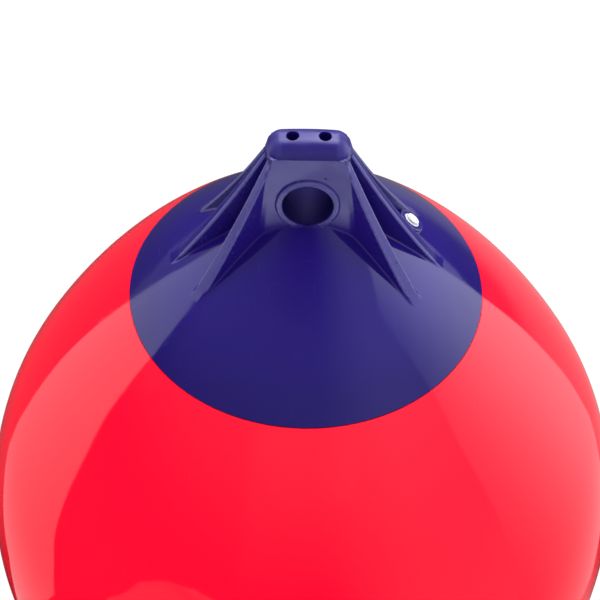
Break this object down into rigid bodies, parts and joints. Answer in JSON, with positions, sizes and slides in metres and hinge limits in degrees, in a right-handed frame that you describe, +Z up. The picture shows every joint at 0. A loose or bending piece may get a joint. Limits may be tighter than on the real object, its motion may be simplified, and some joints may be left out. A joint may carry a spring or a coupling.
{
  "type": "inflatable mooring buoy",
  "caption": "Glossy red inflatable vinyl mooring buoy, pear-shaped, with a ribbed blue rope-hold end carrying a through eye for rope and a plugged air valve.",
  "frame": {"origin": "on the buoy's axis at the water's surface, as it floats empty and upright", "axes": "+Z up along the axis towards the rope hold, Y along the rope eye with -Y to the picture's viewer, +X across the eye to the valve's flank"},
  "size_m": [0.4319, 0.432, 0.5674],
  "materials": {
    "red_vinyl": "glossy",
    "blue_vinyl": "glossy",
    "white_plastic": "satin"
  },
  "bodies": {
    "root": {"envelope": "red_vinyl", "rope_hold": "blue_vinyl", "valve_body": "white_plastic", "valve_plug": "white_plastic"}
  },
  "joints": []
}
